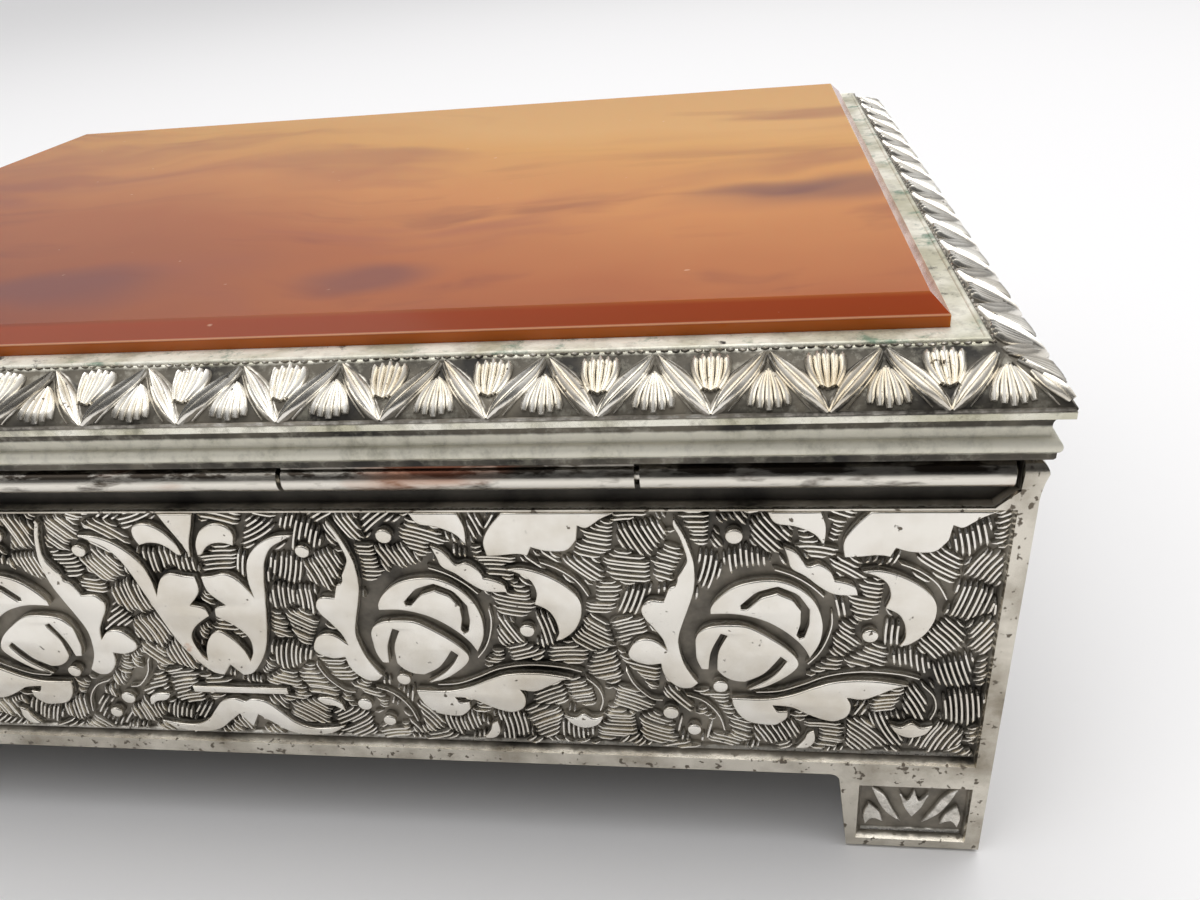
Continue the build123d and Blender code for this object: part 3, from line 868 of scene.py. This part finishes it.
def amber():
    """Cast amber resin, polished: clouded golden body with red-brown swirls and plum shadows."""
    material, tree, shader, place = make_material("marbled_amber_resin")
    still = add(tree, "SeparateXYZ", {0: place})
    warp = add(tree, "TexNoise", {"Vector": place, "Scale": 22.0, "Detail": 3.0}).outputs["Color"]
    centred = add(tree, "VectorMath", {0: warp, 1: (0.5, 0.5, 0.5)}, operation="SUBTRACT").outputs[0]
    drift = add(tree, "VectorMath", {0: centred, 3: 0.03}, operation="SCALE").outputs[0]
    moved = add(tree, "VectorMath", {0: place, 1: drift}, operation="ADD").outputs[0]
    split = add(tree, "SeparateXYZ", {0: moved})
    across_sockets = {"Value": split.outputs["Y"], "From Min": 0.042, "From Max": -0.042}
    across = add(tree, "MapRange", across_sockets).outputs[0]
    slant_range = {
        "Value": split.outputs["X"], "From Min": 0.06, "From Max": -0.045, "To Min": -0.16, "To Max": 0.34,
    }
    slant = add(tree, "MapRange", slant_range).outputs[0]
    tone = add(tree, "Math", {0: across, 1: slant}, operation="ADD").outputs[0]
    body = add(tree, "ValToRGB", {0: tone}, stops=(
        (0.0, "#7C3115"), (0.2, "#964B1E"), (0.38, "#A85A26"),
        (0.6, "#C98140"), (0.85, "#D89A4C"), (1.0, "#DCA45C"),
    )).outputs[0]
    swirl_place_sockets = {"Vector": moved, "Rotation": (0, 0, 0.35), "Scale": (0.28, 1.0, 1.0)}
    swirl_place = add(tree, "Mapping", swirl_place_sockets).outputs[0]
    swirl_sockets = {"Vector": swirl_place, "Scale": 48.0, "Detail": 3.0, "Distortion": 0.6}
    swirl = add(tree, "TexNoise", swirl_sockets).outputs[0]
    vein_range = {"Value": swirl, "From Min": 0.48, "From Max": 0.66, "To Max": 0.5}
    vein = add(tree, "MapRange", vein_range, interpolation_type="SMOOTHSTEP").outputs[0]
    layers = [(vein, "#8E4636")]
    for x, y, size in PLUM_SPOTS:
        offset = add(tree, "VectorMath", {0: moved, 1: (-x * MM, -y * MM, 0)}, operation="ADD").outputs[0]
        squeezed = add(tree, "VectorMath", {0: offset, 1: (0.5, 1.3, 0.0)}, operation="MULTIPLY").outputs[0]
        away = add(tree, "VectorMath", {0: squeezed}, operation="LENGTH").outputs["Value"]
        spot_range = {"Value": away, "From Min": size * MM, "From Max": size * 0.2 * MM, "To Max": 0.62}
        spot = add(tree, "MapRange", spot_range, interpolation_type="SMOOTHSTEP").outputs[0]
        layers.append((spot, "#6A3838"))
    streak_place_sockets = {"Vector": moved, "Rotation": (0, 0, 0.08), "Scale": (0.1, 1.0, 1.0)}
    streak_place = add(tree, "Mapping", streak_place_sockets).outputs[0]
    streak = add(tree, "TexNoise", {"Vector": streak_place, "Scale": 150.0, "Detail": 4.0}).outputs[0]
    near_range = {"Value": still.outputs["Y"], "From Min": -0.015, "From Max": 0.03, "To Max": 0.7}
    near = add(tree, "MapRange", near_range).outputs[0]
    wisp_range = {"Value": streak, "From Min": 0.5, "From Max": 0.7, "To Max": near}
    wisp = add(tree, "MapRange", wisp_range, interpolation_type="SMOOTHSTEP").outputs[0]
    layers.append((wisp, "#7E3A24"))
    height = still.outputs["Z"]
    arris_z = slab_high.z - SLAB_BEVEL
    # Painted shade and light: the bevel is painted dark red-brown and the side below its arris a brighter
    # orange
    bevel = (slab_high.z - 0.02, slab_high.z - 0.25, "#9E4114")
    edge = (arris_z + 0.05, arris_z - 0.2, "#B8601F")
    for top, bottom, tint in (bevel, edge):
        fade = {"Value": height, "From Min": top * MM, "From Max": bottom * MM}
        layers.append((add(tree, "MapRange", fade).outputs[0], tint))
    # A painted highlight: a thin pale line along the arris at the foot of the bevel
    from_arris = add(tree, "Math", {0: height, 1: arris_z * MM}, operation="SUBTRACT").outputs[0]
    off_arris = add(tree, "Math", {0: from_arris}, operation="ABSOLUTE").outputs[0]
    arris_highlight_range = {"Value": off_arris, "From Min": 0.1 * MM, "From Max": 0.03 * MM, "To Max": 0.7}
    layers.append((add(tree, "MapRange", arris_highlight_range).outputs[0], "#E6AC84"))
    speck = add(tree, "TexNoise", {"Vector": place, "Scale": 900.0, "Detail": 1.0}).outputs[0]
    marks_sockets = {"Value": speck, "From Min": 0.78, "From Max": 0.82, "To Max": 0.5}
    marks = add(tree, "MapRange", marks_sockets).outputs[0]
    layers.append((marks, "#EBC2A0"))
    colour = body
    for share, tint in layers:
        colour = add(tree, "Mix", {0: share, 6: colour, 7: linear(tint)}, data_type="RGBA").outputs[2]
    fill(tree, shader, {
        "Base Color": colour,
        "Roughness": 0.12,
        "IOR": 1.5,
        "Specular IOR Level": 0.3,
        "Subsurface Weight": 0.25,
        "Subsurface Radius": (0.004, 0.0018, 0.0008),
        "Subsurface Scale": 1.0,
    })
    return material


def cedar(name, stretch):
    """Planed cedar, unvarnished: fine red-brown grain with darker latewood lines along the board."""
    material, tree, shader, place = make_material(name)
    along = add(tree, "Mapping", {"Vector": place, "Scale": stretch}).outputs[0]
    grain = add(tree, "TexNoise", {"Vector": along, "Scale": 900.0, "Detail": 4.0}).outputs[0]
    tints = ((0.35, "#6F3F26"), (0.65, "#A96E48"))
    fill(tree, shader, {
        "Base Color": add(tree, "ValToRGB", {0: grain}, stops=tints).outputs[0],
        "Roughness": 0.65,
        "Normal": add(tree, "Bump", {"Strength": 0.2, "Distance": 0.00008, "Height": grain}).outputs[0],
    })
    return material


def dull_sheet(name, dark, pale, metallic):
    """A plain hidden sheet: rolled metal or grey card, mottled by handling."""
    material, tree, shader, place = make_material(name)
    mottle = add(tree, "TexNoise", {"Vector": place, "Scale": 180.0, "Detail": 6.0}).outputs[0]
    fill(tree, shader, {
        "Base Color": add(tree, "ValToRGB", {0: mottle}, stops=((0.35, dark), (0.65, pale))).outputs[0],
        "Metallic": metallic,
        "Roughness": 0.55,
    })
    return material


def dress(names, material):
    """Give nodes of the frame their finish."""
    for name in names:
        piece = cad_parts[name]
        piece.data.materials.clear()
        piece.data.materials.append(material)


# The viewpoint, found from the box's straight edges in the photograph
CAMERA_MM = (-44.52, 104.11, 75.47)
CAMERA_RIGHT = (-0.98900, -0.12034, -0.08602)
CAMERA_UP = (-0.01281, -0.50964, 0.86031)
LENS_MM = 28.44
SENSOR_MM = 36.0


def studio_world(power):
    """White overhead, greyer towards the horizon and dark on the side the box is seen from."""
    world = bpy.data.worlds.new("studio")
    world.use_nodes = True
    tree = world.node_tree
    ray = add(tree, "TexCoord").outputs["Generated"]
    up = add(tree, "SeparateXYZ", {0: ray}).outputs["Z"]
    sky_range = {"Value": up, "From Min": 0.1, "From Max": 0.85, "To Min": 0.28, "To Max": 1.25}
    sky = add(tree, "MapRange", sky_range).outputs[0]
    viewer_side = {0: ray, 1: (-0.3, 0.85, 0.43)}
    toward = add(tree, "VectorMath", viewer_side, operation="DOT_PRODUCT").outputs["Value"]
    open_range = {"Value": toward, "From Min": 0.9, "From Max": 0.55, "To Min": 0.1}
    open_side = add(tree, "MapRange", open_range, interpolation_type="SMOOTHSTEP").outputs[0]
    level = add(tree, "Math", {0: sky, 1: open_side}, operation="MULTIPLY").outputs[0]
    strength = add(tree, "Math", {0: level, 1: power}, operation="MULTIPLY").outputs[0]
    fill(tree, tree.nodes["Background"], {"Color": linear("#F6F6F7"), "Strength": strength})
    return world


class BoxSettings(bpy.types.PropertyGroup):
    """Sizes and colours that a user may change."""

    hatch_spacing: FloatProperty(
        name="Hatch spacing", description="Distance between ridges, in millimetres", default=0.42, min=0.2,
    )
    hatch_patch: FloatProperty(
        name="Hatch patch", description="Size of one patch of ridges, in millimetres", default=3.4, min=1.0,
    )
    hatch_seed: IntProperty(name="Hatch seed", description="Picks the turn of each patch", default=7)
    floor_colour: FloatVectorProperty(
        name="Floor", description="Colour of the table top", subtype="COLOR", size=4,
        default=linear("#F1F0F0"),
    )
    light_power: FloatProperty(
        name="Light", description="Strength of the main soft light, in watts", default=4.2,
    )
    world_power: FloatProperty(
        name="Surroundings", description="Strength of the light from all round", default=1.0,
    )


class BOX_OT_walls(bpy.types.Operator):
    """Finish the cast walls and raise their ornament"""

    bl_idname = "box.walls"
    bl_label = "Walls"

    def execute(self, context):
        settings = context.scene.relief_box
        dress(["panel_" + side for side in SIDES], silver("silver_plate_walls", "place"))
        metal = silver("silver_plate_relief", "relief")
        build_wall_ornament(settings, metal)
        build_foot_ornament(metal)
        return {"FINISHED"}


class BOX_OT_lid(bpy.types.Operator):
    """Finish the lid's rails, slab and lining"""

    bl_idname = "box.lid"
    bl_label = "Lid"

    def execute(self, context):
        dress(["lid_rail_" + side for side in SIDES], rail_silver())
        dress(["amber_slab"], amber())
        dress(["slab_backing_board"], dull_sheet("grey_card", "#4B443B", "#6A6257", 0.0))
        build_lid_ornament(silver("silver_plate_leaves", "relief"))
        return {"FINISHED"}


class BOX_OT_inside(bpy.types.Operator):
    """Finish the cedar lining and the bottom plate"""

    bl_idname = "box.inside"
    bl_label = "Inside"

    def execute(self, context):
        along_x = ("liner_front", "liner_back", "liner_floor", "lid_lining")
        along_y = ("liner_left", "liner_right", "liner_divider")
        dress(along_x, cedar("cedar_along_x", (0.05, 1.0, 1.0)))
        dress(along_y, cedar("cedar_along_y", (1.0, 0.05, 1.0)))
        dress(["bottom_plate"], dull_sheet("tinned_sheet", "#4A463F", "#8A857A", 0.8))
        return {"FINISHED"}


class BOX_OT_hinge(bpy.types.Operator):
    """Finish the hinge's barrel and pin"""

    bl_idname = "box.hinge"
    bl_label = "Hinge"

    def execute(self, context):
        dress(["hinge_knuckle_%d" % n for n in range(1, 6)] + ["hinge_pin"], barrel_silver())
        return {"FINISHED"}


class BOX_OT_stage(bpy.types.Operator):
    """Add the floor, the light and the camera"""

    bl_idname = "box.stage"
    bl_label = "Stage"

    def execute(self, context):
        settings = context.scene.relief_box
        bpy.ops.object.select_all(action="DESELECT")
        bpy.ops.mesh.primitive_plane_add(size=20.0, location=(0, 0, 0))
        floor = context.object
        floor.name = "floor"
        material, _, shader, _ = make_material("table_top")
        shader.inputs["Base Color"].default_value = settings.floor_colour
        shader.inputs["Roughness"].default_value = 0.6
        floor.data.materials.append(material)
        context.scene.world = studio_world(settings.world_power)
        context.scene.view_settings.view_transform = "Standard"
        for name, spot, size, power in (
            ("soft_main", (-0.1, -0.2, 0.9), 0.9, settings.light_power),
            ("soft_side", (0.5, 0.45, 0.75), 0.5, settings.light_power / 5),
        ):
            light = bpy.data.lights.new(name, "AREA")
            light.size = size
            light.energy = power
            lamp = bpy.data.objects.new(name, light)
            lamp.location = spot
            aim = Vector((0, 0, 0.02)) - Vector(spot)
            lamp.rotation_euler = aim.to_track_quat("-Z", "Y").to_euler()
            context.scene.collection.objects.link(lamp)
        camera_data = bpy.data.cameras.new("camera")
        camera_data.lens = LENS_MM
        camera_data.sensor_width = SENSOR_MM
        camera_data.sensor_fit = "HORIZONTAL"
        camera_data.clip_start = 0.005
        camera = bpy.data.objects.new("camera", camera_data)
        right = Vector(CAMERA_RIGHT).normalized()
        up = Vector(CAMERA_UP).normalized()
        turn = Matrix((right, up, right.cross(up))).transposed().to_4x4()
        camera.matrix_world = Matrix.Translation(Vector(CAMERA_MM) * MM) @ turn
        context.scene.collection.objects.link(camera)
        context.scene.camera = camera
        return {"FINISHED"}


class BOX_PT_panel(bpy.types.Panel):
    """Lists the steps that finish the box"""

    bl_label = "Cigarette box"
    bl_idname = "BOX_PT_panel"
    bl_space_type = "VIEW_3D"
    bl_region_type = "UI"
    bl_category = "Box"

    def draw(self, context):
        for name in BoxSettings.__annotations__:
            self.layout.prop(context.scene.relief_box, name)
        for step in OPERATORS:
            self.layout.operator(step.bl_idname)


OPERATORS = (BOX_OT_walls, BOX_OT_lid, BOX_OT_inside, BOX_OT_hinge, BOX_OT_stage)
CLASSES = (BoxSettings,) + OPERATORS + (BOX_PT_panel,)


def register():
    for item in CLASSES:
        bpy.utils.register_class(item)
    bpy.types.Scene.relief_box = PointerProperty(type=BoxSettings)


def unregister():
    del bpy.types.Scene.relief_box
    for item in reversed(CLASSES):
        bpy.utils.unregister_class(item)


def main():
    register()
    bpy.ops.box.walls()
    bpy.ops.box.lid()
    bpy.ops.box.inside()
    bpy.ops.box.hinge()
    bpy.ops.box.stage()


if __name__ == "__main__":
    main()
